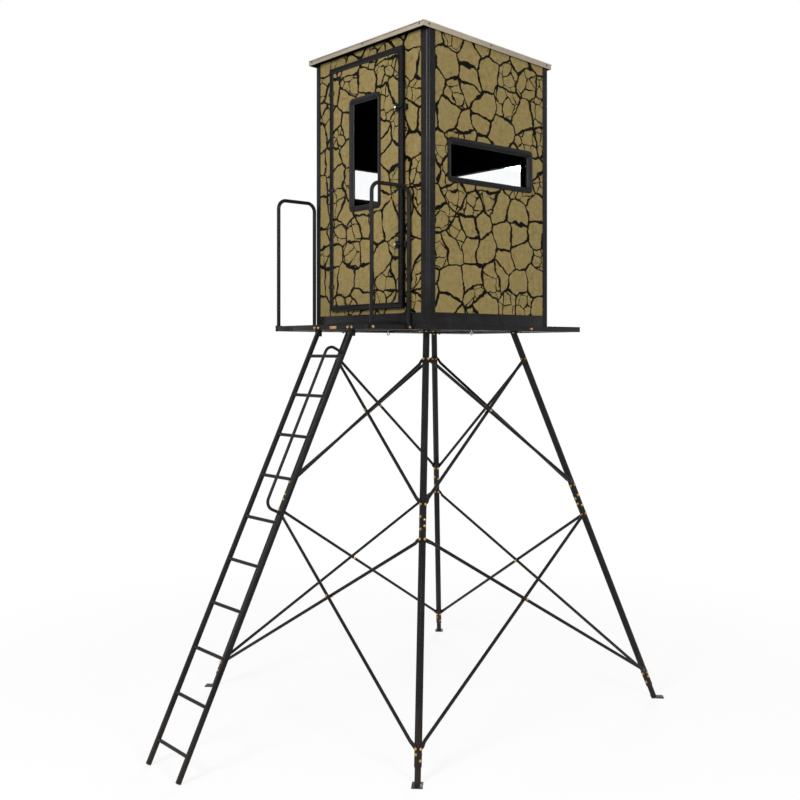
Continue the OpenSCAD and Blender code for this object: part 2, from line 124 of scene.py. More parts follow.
def remap(tree, value, from_low, from_high, to_low=0.0, to_high=1.0, smooth=False):
    inputs = {"Value": value, "From Min": from_low, "From Max": from_high,
              "To Min": to_low, "To Max": to_high}
    kind = "SMOOTHSTEP" if smooth else "LINEAR"
    return add(tree, "ShaderNodeMapRange", inputs, interpolation_type=kind).outputs["Result"]


def blend_colour(tree, factor, a, b):
    made = add(tree, "ShaderNodeMix", {0: factor}, data_type="RGBA", blend_type="MIX")
    for index, value in ((6, a), (7, b)):
        if isinstance(value, bpy.types.NodeSocket):
            tree.links.new(value, made.inputs[index])
        else:
            made.inputs[index].default_value = (*value, 1)
    return made.outputs[2]


def give_bump(tree, shader, height, strength, distance):
    inputs = {"Height": height, "Strength": strength, "Distance": distance}
    bump = add(tree, "ShaderNodeBump", inputs)
    tree.links.new(bump.outputs["Normal"], shader.inputs["Normal"])


print("shader helpers ready")

# %% [markdown]
# ## Powder-coated steel
# The tower, rails and trims are mild steel with a baked charcoal powder coat. Powder flows a
# little before it hardens, which leaves a fine orange peel, and handling rubs it duller in
# patches. A noise in the roughness and a very small bump give both. Grass and mud leave a faint
# brown film near the ground, so a second colour comes in over the lowest half metre. The door's
# edging has the same coat in a deeper black.

# %% Make the steel
worn_colour = (0.022, 0.019, 0.017)
mud_colour = (0.036, 0.027, 0.019)
mud_top = 0.55


def make_steel(name="charcoal_powder_coat", colour=(0.0088, 0.0081, 0.0082)):
    made, tree, shader = new_material(name, colour, 0.36)
    shader.inputs["Specular IOR Level"].default_value = 0.085
    where = place_of(tree)
    patches = noise(tree, where, 7.0, 5.0)
    peel = noise(tree, where, 900.0, 2.0)
    height = add(tree, "ShaderNodeSeparateXYZ", {0: where}).outputs["Z"]
    near_ground = remap(tree, height, mud_top, 0.0)
    mud = calc(tree, "MULTIPLY", near_ground, patches, clamp=True)
    lighter = tuple(c * 1.8 for c in colour)
    base = blend_colour(tree, remap(tree, patches, 0.35, 0.75), colour, lighter)
    rubbed = remap(tree, noise(tree, where, 55.0, 6.0, 0.7), 0.62, 0.74, 0.0, 0.5)
    base = blend_colour(tree, rubbed, base, worn_colour)
    base = blend_colour(tree, mud, base, mud_colour)
    tree.links.new(base, shader.inputs["Base Color"])
    tree.links.new(remap(tree, patches, 0.3, 0.7, 0.17, 0.34), shader.inputs["Roughness"])
    give_bump(tree, shader, peel, 0.25, 0.0006)
    return made


steel = make_steel()
door_black = make_steel("black_door_edging", (0.0042, 0.0040, 0.0041))
print("steel:", len(steel.node_tree.nodes), "nodes")

# %% [markdown]
# ## The cracked-earth camouflage
# The wall panels carry a printed pattern of dried mud. Real mud cracks into plates whose borders
# are jagged and of uneven width, with smaller plates inside larger ones. A Voronoi texture knows
# the distance to the nearest border between cells, so a threshold on it draws the cracks. The
# place is first pushed about by noise to make the borders jagged, the threshold itself varies
# to make the width uneven, and a second and a third Voronoi add small plates and hairlines.

# %% Crack masks
jumble = 0.82


def crack_mask(tree, where, scale, width, soften=0.22):
    """1 inside the cracks; the width is half a crack, in metres."""
    inputs = {"Vector": where, "Scale": scale, "Randomness": jumble}
    edge = add(tree, "ShaderNodeTexVoronoi", inputs, feature="DISTANCE_TO_EDGE",
               voronoi_dimensions="2D").outputs["Distance"]
    outer = calc(tree, "MULTIPLY", width, scale)
    inner = calc(tree, "MULTIPLY", outer, 1.0 - soften)
    mask = remap(tree, edge, inner, outer, 1.0, 0.0)
    return calc(tree, "MULTIPLY", mask, calc(tree, "GREATER_THAN", width, 0.0005))


def unrolled(tree, where):
    """The walls laid out flat: sideways round the corner posts, and upwards."""
    split = add(tree, "ShaderNodeSeparateXYZ", {0: where})
    sideways = calc(tree, "ADD", split.outputs["X"], split.outputs["Y"])
    return add(tree, "ShaderNodeCombineXYZ", {"X": sideways, "Y": split.outputs["Z"]}).outputs[0]


def pushed(tree, where, steps):
    """The place moved about by one noise per (scale, amount)."""
    moved = where
    for scale, amount in steps:
        inputs = {"Vector": where, "Scale": scale, "Detail": 2.0, "Roughness": 0.5}
        colour = add(tree, "ShaderNodeTexNoise", inputs).outputs["Color"]
        centred = add(tree, "ShaderNodeVectorMath", {0: colour, 1: (0.5, 0.5, 0.5)},
                      operation="SUBTRACT").outputs[0]
        push = add(tree, "ShaderNodeVectorMath", {0: centred, "Scale": amount},
                   operation="SCALE").outputs[0]
        moved = add(tree, "ShaderNodeVectorMath", {0: moved, 1: push}, operation="ADD").outputs[0]
    return moved


print("crack masks ready")

# %% [markdown]
# The print is built in layers. `plates` are the broad cracks. Each large plate draws two lots:
# the first says whether small plates break it up, the second whether it has hairlines. The ink
# of the cracks goes on last.

# %% Make the camouflage
plate_scale = 5.1
small_scale = 9.3
hair_scale = 14.0
ink_colour = (0.0022, 0.0014, 0.0008)
hair_colour = (0.035, 0.022, 0.008)


def make_camouflage():
    made, tree, shader = new_material("cracked_earth_print", (0.23, 0.174, 0.067), 0.42)
    flat = unrolled(tree, place_of(tree))
    bent = pushed(tree, flat, ((4.5, 0.13), (19.0, 0.030), (70.0, 0.012)))
    mottle = noise(tree, flat, 24.0, 6.0, 0.65)
    grain = noise(tree, flat, 420.0, 2.0, 0.6)
    broad = noise(tree, flat, 3.0, 2.0)

    width = remap(tree, noise(tree, flat, 7.0, 2.0), 0.34, 0.66, 0.0070, 0.0160)
    plates = crack_mask(tree, bent, plate_scale, width)
    inputs = {"Vector": bent, "Scale": plate_scale, "Randomness": jumble}
    lot = add(tree, "ShaderNodeTexVoronoi", inputs, voronoi_dimensions="2D").outputs["Color"]
    lot = add(tree, "ShaderNodeSeparateColor", {0: lot})
    chosen = calc(tree, "GREATER_THAN", lot.outputs[0], 0.62)
    width = remap(tree, noise(tree, flat, 10.0, 2.0), 0.38, 0.62, 0.0030, 0.0084)
    small = calc(tree, "MULTIPLY", crack_mask(tree, bent, small_scale, width), chosen)
    chosen = calc(tree, "GREATER_THAN", lot.outputs[1], 0.35)
    width = remap(tree, noise(tree, flat, 13.0, 2.0), 0.46, 0.60, 0.0004, 0.0028)
    hair = calc(tree, "MULTIPLY", crack_mask(tree, bent, hair_scale, width, 0.8), chosen)

    layers = ((mottle, 0.34, 0.68, 1.00, (0.276, 0.211, 0.085)),
              (broad, 0.38, 0.68, 0.40, (0.238, 0.184, 0.078)),
              (grain, 0.50, 0.78, 0.55, (0.098, 0.068, 0.021)),
              (grain, 0.50, 0.24, 0.40, (0.350, 0.275, 0.125)))
    base = (0.184, 0.137, 0.049)
    for texture, low, high, most, colour in layers:
        base = blend_colour(tree, remap(tree, texture, low, high, 0.0, most), base, colour)
    base = blend_colour(tree, calc(tree, "MULTIPLY", hair, 0.60), base, hair_colour)
    ink = calc(tree, "MAXIMUM", plates, small, clamp=True)
    base = blend_colour(tree, ink, base, ink_colour)
    tree.links.new(base, shader.inputs["Base Color"])
    tree.links.new(remap(tree, mottle, 0.3, 0.7, 0.36, 0.50), shader.inputs["Roughness"])
    shader.inputs["Specular IOR Level"].default_value = 0.045
    give_bump(tree, shader, noise(tree, flat, 160.0, 3.0), 0.05, 0.001)
    return made


camouflage = make_camouflage()
print("camouflage:", len(camouflage.node_tree.nodes), "nodes")

# %% [markdown]
# ## The other finishes
# Each is one short graph: a base colour that varies a little, a roughness that varies with it,
# and a bump at the scale of the real grain. Plastics get a fine moulded grain, the zinc plate on
# the bolts a yellow tint that wanders towards brown, and the lining and floor a coarser texture.

# %% Make the other finishes
def make_plain(name, colours, roughness, scale, grain, depth, metallic=0.0, specular=0.5):
    made, tree, shader = new_material(name, colours[0], roughness, metallic)
    shader.inputs["Specular IOR Level"].default_value = specular
    where = place_of(tree)
    patches = noise(tree, where, scale, 5.0, 0.6)
    base = blend_colour(tree, remap(tree, patches, 0.32, 0.70), *colours)
    tree.links.new(base, shader.inputs["Base Color"])
    swing = remap(tree, patches, 0.3, 0.7, roughness - 0.07, roughness + 0.07)
    tree.links.new(swing, shader.inputs["Roughness"])
    give_bump(tree, shader, noise(tree, where, grain, 3.0, 0.6), 0.35, depth)
    return made


def grey(value):
    return value, value, value


plastic_tones = ((0.0050, 0.0050, 0.0055), (0.0105, 0.0105, 0.0110))
frame_plastic = make_plain("moulded_window_plastic", plastic_tones, 0.33, 9.0, 700.0, 0.0005,
                           specular=0.10)
rubber = make_plain("seal_rubber", (grey(0.004), grey(0.008)), 0.62, 30.0, 500.0, 0.0006)
# The lining's tones sit below a real black skin: the darkness inside the cabin is painted shade.
lining_shade_tones = (grey(0.0012), grey(0.0030))
lining_with_painted_shade = make_plain("black_lining_with_painted_shade", lining_shade_tones, 0.9, 12.0, 320.0, 0.0012, specular=0.02)
board_tones = ((0.030, 0.026, 0.022), (0.055, 0.047, 0.040))
floor_board = make_plain("coated_floor_board", board_tones, 0.70, 14.0, 180.0, 0.0015)
tan_tones = ((0.270, 0.225, 0.165), (0.330, 0.280, 0.215))
roof_paint = make_plain("tan_roof_coating", tan_tones, 0.48, 5.0, 420.0, 0.0006)
cream_tones = ((0.60, 0.56, 0.47), (0.68, 0.64, 0.55))
cream = make_plain("cream_roof_edge", cream_tones, 0.45, 7.0, 420.0, 0.0005)
grey_zinc_tones = ((0.50, 0.49, 0.47), (0.36, 0.35, 0.34))
grey_zinc = make_plain("grey_zinc_plate", grey_zinc_tones, 0.38, 120.0, 800.0, 0.0002, metallic=0.9)
zinc_tones = ((0.62, 0.40, 0.14), (0.42, 0.24, 0.09))
zinc = make_plain("yellow_zinc_plate", zinc_tones, 0.34, 160.0, 900.0, 0.0002, metallic=0.85)
chrome_tones = (grey(0.72), (0.60, 0.60, 0.61))
chrome = make_plain("bright_knob", chrome_tones, 0.14, 60.0, 700.0, 0.0001, metallic=1.0)
screw_tones = ((0.016, 0.015, 0.015), (0.030, 0.028, 0.026))
screw_black = make_plain("blackened_screw", screw_tones, 0.35, 90.0, 600.0, 0.0002)
print("plain finishes made")

# %% [markdown]
# ## Glass
# The panes are thin and clean, with a little colour where dust lies. A refraction index of 1
# leaves out faint reflections, which would show as grain in the dark cabin.

# %% Make the glass
def make_glass():
    made, tree, shader = new_material("clear_window_glass", (0.90, 0.94, 0.94), 0.0)
    where = place_of(tree)
    dust = remap(tree, noise(tree, where, 14.0, 5.0, 0.6), 0.40, 0.75)
    tint = blend_colour(tree, dust, (0.985, 0.995, 0.995), (0.945, 0.960, 0.960))
    tree.links.new(tint, shader.inputs["Base Color"])
    shader.inputs["IOR"].default_value = 1.0
    shader.inputs["Transmission Weight"].default_value = 1.0
    return made


glass = make_glass()
print("finishes:", ", ".join(sorted(m.name for m in bpy.data.materials)))

# %% [markdown]
# ## Camera
# The camera stands off the corner between the door wall and the right wall, level and at about
# the height of the platform, so that upright lines stay upright. The object is tall, and a
# small lens shift brings the whole of it into a square frame instead of tilting the camera.

# %% Place the camera
camera_data = bpy.data.cameras.new("camera")
camera_data.lens = 45.97
camera_data.sensor_width = 36.0
camera_data.shift_y = -0.0613
camera_data.clip_end = 200.0
camera = bpy.data.objects.new("camera", camera_data)
camera.location = (6.317, -5.755, 2.845)
camera.rotation_euler = (math.radians(90), 0, math.radians(49.38))
bpy.context.scene.collection.objects.link(camera)
bpy.context.scene.camera = camera
print("camera at", tuple(round(v, 2) for v in camera.location))

# %% [markdown]
# ## Floor, background and light
# A pale floor keeps the contact shadows of the four feet and the ladder. It is a large disc, so
# its far edge fades to white on every side. The world is white wherever the camera, a reflection
# or the glass looks at it, and a softer grey as a source of light. Three broad lamps, one on the
# door side, one on the right and one behind, give the flat, even light of a catalogue.

# %% Set the stage
def make_floor(radius=30, corners=96):
    mesh = bpy.data.meshes.new("studio_floor")
    angles = [math.tau * i / corners for i in range(corners)]
    ring = [(radius * math.cos(a), radius * math.sin(a), 0) for a in angles]
    mesh.from_pydata(ring, [], [list(range(corners))])
    made, tree, shader = new_material("studio_floor", (0.86, 0.86, 0.86), 0.9)
    path = add(tree, "ShaderNodeLightPath")
    where = place_of(tree)
    seen = calc(tree, "MAXIMUM", path.outputs["Is Camera Ray"], path.outputs["Is Glossy Ray"])
    lit = add(tree, "ShaderNodeBsdfDiffuse", {"Color": (0.90, 0.90, 0.90, 1)})
    white = add(tree, "ShaderNodeEmission", {"Color": (1, 1, 1, 1), "Strength": 1.0})
    reach = add(tree, "ShaderNodeVectorMath", {0: where}, operation="LENGTH").outputs["Value"]
    far = remap(tree, reach, 2.2, 6.0, 0.80, 1.0, smooth=True)
    share = calc(tree, "MULTIPLY", far, seen)
    mix = add(tree, "ShaderNodeMixShader", {0: share, 1: lit.outputs[0], 2: white.outputs[0]})
    tree.links.new(mix.outputs[0], tree.nodes["Material Output"].inputs["Surface"])
    mesh.materials.append(made)
    floor = bpy.data.objects.new("studio_floor", mesh)
    bpy.context.scene.collection.objects.link(floor)


def make_world():
    world = bpy.data.worlds.new("studio")
    world.use_nodes = True
    tree = world.node_tree
    path = add(tree, "ShaderNodeLightPath")
    seen = calc(tree, "MAXIMUM", path.outputs["Is Camera Ray"], path.outputs["Is Transmission Ray"])
    seen = calc(tree, "MAXIMUM", seen, path.outputs["Is Glossy Ray"])
    strength = remap(tree, seen, 0.0, 1.0, 0.50, 1.0)
    tree.links.new(strength, tree.nodes["Background"].inputs["Strength"])
    tree.nodes["Background"].inputs["Color"].default_value = (1, 1, 1, 1)
    bpy.context.scene.world = world


def make_lamp(name, place, size, watts):
    lamp = bpy.data.lights.new(name, "AREA")
    lamp.shape = "DISK"
    lamp.size = size
    lamp.energy = watts
    made = bpy.data.objects.new(name, lamp)
    made.location = place
    towards = Vector(tower_middle) - Vector(place)
    made.rotation_euler = towards.to_track_quat("-Z", "Y").to_euler()
    bpy.context.scene.collection.objects.link(made)


tower_middle = (0, 0, 3.4)
make_floor()
make_world()
make_lamp("key", (3.0, -11.0, 7.5), 3.6, 880)
make_lamp("side", (11.0, -2.0, 6.5), 3.0, 430)
make_lamp("back", (-6.0, 8.0, 8.0), 4.0, 420)
bpy.context.scene.view_settings.view_transform = "Standard"
print("lamps:", len(bpy.data.lights))

# %% [markdown]
# ## Tools for shapes
# `piece` turns a mesh into an object that rides on its body, so the door's pieces swing with the
# door. `round_edges` bevels every edge that is sharper than a given angle.

# %% Piece tools
def finish_mesh(mesh, angle=35):
    mesh.shade_smooth()
    mesh.set_sharp_from_angle(angle=math.radians(angle))


def piece(name, mesh, body="tower", materials=()):
    for material in materials:
        mesh.materials.append(material)
    made = bpy.data.objects.new(name, mesh)
    bpy.context.scene.collection.objects.link(made)
    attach(made, body)
    return made


def round_edges(bm, width, segments=2, angle=25):
    limit = math.radians(angle)
    sharp = [e for e in bm.edges if len(e.link_faces) == 2 and e.calc_face_angle(0) > limit]
    bmesh.ops.bevel(bm, geom=sharp, offset=width, offset_type="OFFSET", segments=segments,
                    profile=0.5, affect="EDGES", clamp_overlap=True)


print("piece tools ready")

# %% [markdown]
# `Shape` collects boxes, swept outlines and turned parts into one mesh. Each can be placed by a
# matrix, so a row of fifty bolts is one object. `tube_faces` joins a row of equal rings.

# %% A shape made of many parts
def tube_faces(rings, count, closed=False):
    """Quads between rings of count vertices, and a cap on each end if the row isn't closed."""
    faces = []
    for ring in range(rings if closed else rings - 1):
        a = ring * count
        b = (ring + 1) % rings * count
        faces += [[a + i, a + (i + 1) % count, b + (i + 1) % count, b + i] for i in range(count)]
    if not closed:
        faces.append(list(range(count))[::-1])
        faces.append([(rings - 1) * count + i for i in range(count)])
    return faces


class Shape:
    def __init__(self):
        self.vertices = []
        self.faces = []

    def add(self, vertices, faces, matrix=None):
        start = len(self.vertices)
        for vertex in vertices:
            vertex = Vector(vertex)
            self.vertices.append(tuple(matrix @ vertex if matrix else vertex))
        self.faces += [[start + i for i in face] for face in faces]

    def lathe(self, profile, matrix=None, sides=24):
        """Turn (radius, height) pairs about Z; both ends are closed."""
        vertices = []
        for radius, height in profile:
            for i in range(sides):
                angle = math.tau * (i + 0.5) / sides
                vertices.append((radius * math.cos(angle), radius * math.sin(angle), height))
        self.add(vertices, tube_faces(len(profile), sides), matrix)

    def box(self, lo, hi, matrix=None):
        xs, ys, zs = zip(lo, hi)
        corners = [(x, y, z) for x in xs for y in ys for z in zs]
        faces = [[0, 1, 3, 2], [4, 6, 7, 5], [0, 4, 5, 1], [2, 3, 7, 6], [0, 2, 6, 4], [1, 5, 7, 3]]
        self.add(corners, faces, matrix)

    def sweep(self, outline, path, closed=False, matrix=None):
        """Carry a closed outline of (u, v) along points given as (place, u_axis, v_axis)."""
        vertices = []
        for place, u_axis, v_axis in path:
            vertices += [place + u_axis * u + v_axis * v for u, v in outline]
        self.add(vertices, tube_faces(len(path), len(outline), closed), matrix)

    def done(self, name, material, body="tower", angle=35, bevel=0.0):
        mesh = bpy.data.meshes.new(name)
        mesh.from_pydata(self.vertices, [], self.faces)
        bm = bmesh.new()
        bm.from_mesh(mesh)
        bmesh.ops.recalc_face_normals(bm, faces=bm.faces)
        if bevel:
            round_edges(bm, bevel)
        bm.to_mesh(mesh)
        bm.free()
        finish_mesh(mesh, angle)
        return piece(name, mesh, body, [material])


print("shape class ready")

# %% [markdown]
# `rounded_copy` takes a node of the frame, joins its triangles into flat faces and bevels its
# edges, because a real tube has rounded corners that catch the light.

# %% Rounded copies
def mesh_from(bm, name):
    mesh = bpy.data.meshes.new(name)
    bm.to_mesh(mesh)
    bm.free()
    return mesh


def cad_shape(node):
    """A bmesh of a node of the frame with the triangles of each flat face joined again."""
    bm = bmesh.new()
    bm.from_mesh(bpy.data.objects[node].data)
    bmesh.ops.remove_doubles(bm, verts=bm.verts, dist=1e-6)
    bmesh.ops.dissolve_limit(bm, angle_limit=math.radians(0.5), verts=bm.verts, edges=bm.edges)
    return bm


def rounded_copy(node, width, material, body="tower"):
    bm = cad_shape(node)
    round_edges(bm, width)
    mesh = mesh_from(bm, node + "_rounded")
    finish_mesh(mesh)
    made = piece(node + "_rounded", mesh, body, [material])
    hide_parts(node)


print("copy tools ready")

# %% [markdown]
# ## Frames of reference
# The tower's sides lean, so a bolt on them is placed in the side's own frame: X out of the side,
# Y along it and Z up the slope. The legs, the ladder, the walls, the door leaf and the roof each
# have such a frame too.

# %% Frames of the sides and legs
def turned(degrees, axis):
    return Matrix.Rotation(math.radians(degrees), 4, axis)


def moved(x, y, z):
    return Matrix.Translation((x, y, z))


leg_lean = math.atan(math.sin(side_lean))
leg_twist = (math.pi / 2 - math.acos(math.sin(side_lean) ** 2)) / 2
leg_length = beam_under / (math.cos(side_lean) * math.cos(leg_lean))
face = leg / 2 * (math.cos(leg_twist) + math.sin(leg_twist))


def on_side(k):
    return turned(90 * k, "Z") @ moved(head, 0, beam_under) @ Matrix.Rotation(-side_lean, 4, "Y")


def on_leg(k):
    lean = Matrix.Rotation(leg_lean, 4, "X") @ Matrix.Rotation(-leg_twist, 4, "Z")
    return on_side(k) @ moved(0, head, 0) @ lean


def down_side(z):
    return (beam_under - z) / math.cos(side_lean)


def half_width(s):
    return head + s * math.sin(side_lean)


print("leg length", round(leg_length, 3), "side lean", round(math.degrees(side_lean), 2))

# %% [markdown]
# The ladder leans against the landing. The frames of the walls, the door and the roof have their
# Z axis pointing outwards. The roof's slope follows from the heights of the posts.

# %% Frames of the ladder, walls, door and roof
rungs_low, rungs_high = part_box("ladder_rungs")
stiles_low, stiles_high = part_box("ladder_stiles")
rung_tube = 0.025
ladder_lean = math.atan2(rungs_high.y - rungs_low.y - rung_tube, rungs_high.z - rungs_low.z - rung_tube)
ladder_x = (stiles_low.x + stiles_high.x) / 2
stile = (stiles_high.x - stiles_low.x - rungs_high.x + rungs_low.x) / 2
stile_x = (stiles_high.x - stiles_low.x - stile) / 2
ladder_foot = -2.505
ladder = moved(ladder_x, ladder_foot, 0) @ Matrix.Rotation(-ladder_lean, 4, "X")

wall_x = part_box("right_wall")[1].x
wall_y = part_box("rear_wall")[1].y
leaf_low, leaf_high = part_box("door_frame")
panel_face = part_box("door_panel")[0].y
leaf = moved(0, leaf_low.y, (leaf_low.z + leaf_high.z) / 2) @ turned(90, "X")
window_z = sum(v.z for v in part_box("wall_window_frames")) / 2
door_window_z = sum(v.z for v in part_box("door_window_frame")) / 2
door_window = moved(0, panel_face, door_window_z) @ turned(90, "X")


def on_wall(k):
    out = wall_y if k == 1 else wall_x
    return turned(90 * k, "Z") @ moved(out, 0, window_z) @ turned(90, "Z") @ turned(90, "X")


tops = [v.co.copy() for v in bpy.data.objects["corner_posts"].data.vertices]
front_top = max(v.z for v in tops if v.y < -half_d + 0.0001)
rear_top = max(v.z for v in tops if v.y > half_d - 0.0001)
roof_slope = math.atan((front_top - rear_top) / (2 * half_d))
roof = moved(0, -half_d, front_top) @ Matrix.Rotation(-roof_slope, 4, "X")


def under_roof(y):
    return front_top - (y + half_d) * math.tan(roof_slope)


print("ladder lean", round(math.degrees(ladder_lean), 2))
print("roof slope", round(math.degrees(roof_slope), 2))

# %% [markdown]
# ## Tubes and plates
# Square tube is rolled from strip, so its corners have a radius of a few millimetres. Plates
# and folded trims have a tighter one. Each of these nodes is replaced by a rounded copy.

# %% Round the steel
sides = ("front_right", "rear_right", "rear_left", "front_left")
rounding = {"long_beams": 3.0, "cross_beams": 3.0, "ladder_stiles": 3.0, "base_trim": 0.8,
            "ladder_brackets": 0.8, "feet": 1.5, "door_jamb": 1.5, "latch_keepers": 2.5}
for side in sides:
    rounding["upper_leg_" + side] = 2.4
    rounding["lower_leg_" + side] = 3.0
for name, width in rounding.items():
    rounded_copy(name, width * MM, steel)
for name in nodes:
    slots = bpy.data.objects[name].data.materials
    if slots and slots[0].name == "steel":
        slots[0] = steel
print("rounded copies:", len(rounding))

# %% [markdown]
# ## Braces
# A brace is a round tube whose ends are pressed flat, drilled and bolted to the leg. Pressing
# keeps the tube's girth, so the end grows wider as it gets thinner. The inner brace of each
# crossed pair also steps out at its ends, past the edge of the leg. Each brace is swept through
# rings that change smoothly from the flat tab to the round tube.
#
# `pairs` gives the heights of the bolts of each crossed pair. `end_rings` gives, for each ring
# near an end, its distance from the bolt, how round it is from 0 to 1, and its width in mm.

# %% Brace tubes
brace_tube = 0.025
brace_gap = 0.0003
ring_points = 20
tab = 0.005
pairs = ((1.735, 2.780), (0.200, 1.500))
end_rings = [(-0.0125, 0, 0.5), (-0.0120, 0, 8), (-0.0095, 0, 16), (-0.0050, 0, 23), (0, 0, 25),
             (0.008, 0, 28), (0.022, 0.02, 32), (0.036, 0.16, 32), (0.050, 0.50, 29.5),
             (0.062, 0.85, 26.5), (0.074, 1, 25), (0.090, 1, 25)]


def brace_ring(thick, width, squareness):
    ring = []
    for i in range(ring_points):
        c, s = math.cos(math.tau * i / ring_points), math.sin(math.tau * i / ring_points)
        ring.append((math.copysign(abs(c) ** squareness, c) * thick / 2,
                     math.copysign(abs(s) ** squareness, s) * width / 2))
    return ring


def brace(shape, k, start, end, inner):
    """From start to end, each (along the side, down the slope), on side k of the tower."""
    run = math.dist(start, end)
    along = Vector((0, (end[0] - start[0]) / run, (start[1] - end[1]) / run))
    across = Vector((0, -along.z, along.y))
    out = Vector((1, 0, 0))
    origin = Vector((0, start[0], -start[1]))
    flat_x = face + tab / 2
    tube_x = face - brace_gap - brace_tube / 2 if inner else face + brace_tube / 2
    stations = end_rings + [(run - t, f, w) for t, f, w in reversed(end_rings)]
    vertices = []
    for t, share, width in stations:
        thick = tab + (brace_tube - tab) * share
        x = flat_x + (tube_x - flat_x) * share
        centre = origin + along * t + out * x
        for u, v in brace_ring(thick, width * MM, 0.55 + 0.45 * share):
            vertices.append(centre + out * u + across * v)
    shape.add(vertices, tube_faces(len(stations), ring_points), on_side(k))


for k, side in enumerate(("right", "rear", "left", "front")):
    tubes = Shape()
    for low_z, high_z in pairs:
        s0, s1 = down_side(high_z), down_side(low_z)
        for inner in (False, True):
            turn = -1 if inner else 1
            brace(tubes, k, (-turn * half_width(s0), s0), (turn * half_width(s1), s1), inner)
    made = tubes.done("brace_tubes_" + side, steel, angle=50)
    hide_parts("braces_" + side)
print("braces: 16")

# %% [markdown]
# ## Nuts and bolts
# The tower is delivered flat and bolted together with yellow zinc-plated hexagon bolts. One bolt
# is a washer and a chamfered hexagon, with a second washer, a nut and the thread's end behind.

# %% A hexagon and a whole bolt
washer_thick = 0.0020


def hexagon(shape, matrix, across=0.016, height=0.0064):
    r = across / math.sqrt(3)
    profile = [(r * 0.98, 0), (r, 0.0006), (r, height - 0.0014), (r * 0.88, height)]
    shape.lathe(profile, matrix, sides=6)


def bolt(shape, matrix, grip):
    """A bolt along +Z of the matrix: its head above the origin, its nut below the grip."""
    washer = [(0.0102, 0), (0.0105, 0.0004), (0.0105, 0.0016), (0.0100, washer_thick)]
    shape.lathe(washer, matrix, sides=20)
    hexagon(shape, matrix @ moved(0, 0, washer_thick))
    below = matrix @ moved(0, 0, -grip) @ turned(180, "X")
    shape.lathe(washer, below, sides=20)
    hexagon(shape, below @ moved(0, 0, washer_thick), height=0.0084)
    thread = [(0.0050, 0), (0.0050, 0.0150), (0.0042, 0.0160)]
    shape.lathe(thread, below, sides=12)


out_x = turned(90, "Y")
out_y = turned(-90, "X")
print("bolt helpers ready")

# %% [markdown]
# A bolt holds each end of a brace, and one goes through both tubes where a pair crosses. The
# splice bolts join the upper and lower legs, and the lowest two hold the foot.

# %% Bolts at the braces, splices and feet
braces = Shape()
for k in range(4):
    for low_z, high_z in pairs:
        for z in (low_z, high_z):
            s = down_side(z)
            for y in (-half_width(s), half_width(s)):
                bolt(braces, on_side(k) @ moved(face + tab, y, -s) @ out_x, 2 * face + tab)
        s0, s1 = down_side(high_z), down_side(low_z)
        share = half_width(s0) / (half_width(s0) + half_width(s1))
        cross = on_side(k) @ moved(face + brace_tube, 0, -(s0 + share * (s1 - s0)))
        bolt(braces, cross @ out_x, 2 * brace_tube + brace_gap)
braces.done("brace_bolts", zinc)

splice_places = ((1.652, out_x), (1.589, out_y), (1.568, out_x), (1.632, out_y),
                 (0.168, out_x), (0.132, out_y))
splices = Shape()
for k in range(4):
    for z, axis in splice_places:
        along = leg_length * (beam_under - z) / beam_under
        x, y = (leg / 2, 0) if axis is out_x else (0, leg / 2)
        bolt(splices, on_leg(k) @ moved(x, y, -along) @ axis, leg)
splices.done("splice_bolts", zinc)
print("bolts:", 4 * (len(pairs) * 5 + len(splice_places)))

# %% [markdown]
# Four bolts hold the plate on each leg's head. The others go through the platform's beams, at
# the ladder, at the rails and near the rear.

# %% Bolts at the head plates and the platform
head_hole = 0.034
head_plate_thick = 0.006
small_washer = 0.0018
bracket_thick = 0.004
strap_thick = 0.0035
mid = (beam_top + beam_under) / 2
plates = Shape()
for k in range(4):
    for x in (-head_hole, head_hole):
        for y in (-head_hole, head_hole):
            place = turned(90 * k, "Z") @ moved(head + x, head + y, beam_under - head_plate_thick)
            down = place @ turned(180, "X")
            plates.lathe([(0.0085, 0), (0.0085, 0.0016), (0.0080, small_washer)], down)
            hexagon(plates, down @ moved(0, 0, small_washer), across=0.013, height=0.0053)
plates.done("head_plate_bolts", zinc)

rail_y = (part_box("landing_rail_left")[0].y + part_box("landing_rail_left")[1].y) / 2
right_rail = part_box("landing_rail_right")[1]
rail_half = right_rail.y - rail_y - 0.015
platform = Shape()
for side in (-1, 1):
    for x in (-0.0245, 0.0245):
        place = moved(ladder_x + side * stile_x + x, -platform_half - bracket_thick, mid)
        bolt(platform, place @ turned(90, "X"), beam + bracket_thick)
    bolt(platform, moved(right_rail.x, rail_y + side * rail_half, mid) @ out_x, 0.034 + beam)
    bolt(platform, moved(-half_w, rail_y + side * rail_half, mid) @ turned(-90, "Y"), beam)
    bolt(platform, moved(side * half_w, 0.459, mid) @ turned(90 * side, "Y"), beam)
    bolt(platform, moved(side * head, platform_half, mid) @ out_y, beam)
strap = Shape()
strap.box((ladder_x - 0.040, -platform_half - strap_thick, mid - 0.010),
          (ladder_x + 0.040, -platform_half, mid + 0.010))
strap.done("ladder_strap", zinc, bevel=0.0010)
for x in (-0.026, 0.026):
    place = moved(ladder_x + x, -platform_half - strap_thick, mid)
    hexagon(platform, place @ turned(90, "X"), across=0.013)
platform.done("platform_bolts", zinc)

# %% [markdown]
# ## Welds
# Rungs, rail flanges and the ladder's hand rail are welded on. A fillet weld is a low ring of
# overlapping ripples, so each bead's radius wavers a little round the joint.

